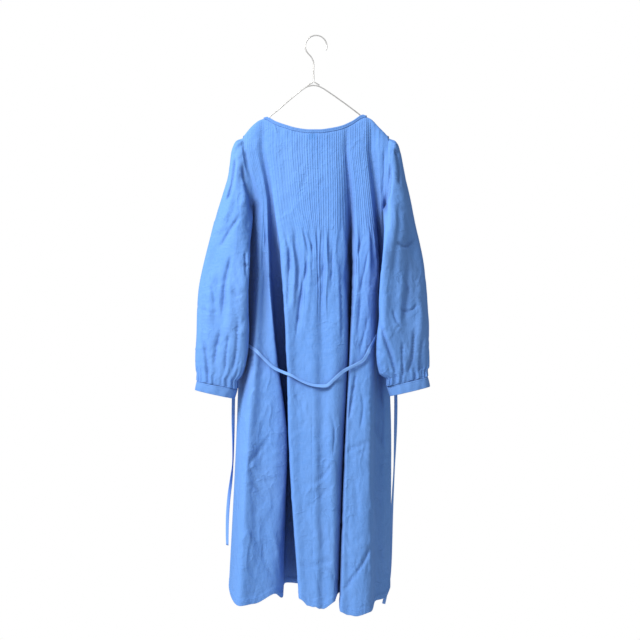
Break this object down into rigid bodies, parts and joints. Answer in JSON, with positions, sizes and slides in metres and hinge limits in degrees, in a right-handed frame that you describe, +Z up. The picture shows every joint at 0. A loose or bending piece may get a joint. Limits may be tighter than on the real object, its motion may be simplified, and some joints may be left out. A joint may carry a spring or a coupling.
{
  "type": "shirt dress on a wire hanger",
  "caption": "Long shirt dress with a tucked yoke, narrow neck binding, full gathered sleeves and a tie belt, hanging in deep folds from a plain wire hanger.",
  "frame": {"origin": "the inside of the top of the hanger's hook, where it bears on what holds it", "axes": "+Z is up, +X is across the shoulders to the right as the picture shows it, and -Y faces the viewer, which is the back of the dress; its buttoned front faces +Y"},
  "size_m": [0.5482, 0.2186, 1.3578],
  "materials": {
    "cloth": "thin crisp plain weave",
    "trim": "the same weave, doubled and stitched",
    "belt": "flat tie of the same weave",
    "button": "satin",
    "wire": "plated wire"
  },
  "bodies": {
    "root": {"back": "cloth", "front_right": "cloth", "front_left": "cloth", "placket": "trim", "button_1": "button", "button_2": "button", "button_3": "button", "button_4": "button", "button_5": "button", "button_6": "button", "button_7": "button", "button_8": "button", "button_9": "button", "sleeve_left": "cloth", "cuff_left": "trim", "sleeve_right": "cloth", "cuff_right": "trim", "neck_binding": "trim", "neck_label": "trim", "belt_loop_left": "belt", "belt_loop_right": "belt", "belt": "belt", "hanger_bow": "wire", "hanger_hook": "wire", "hanger_leg": "wire"}
  },
  "joints": []
}
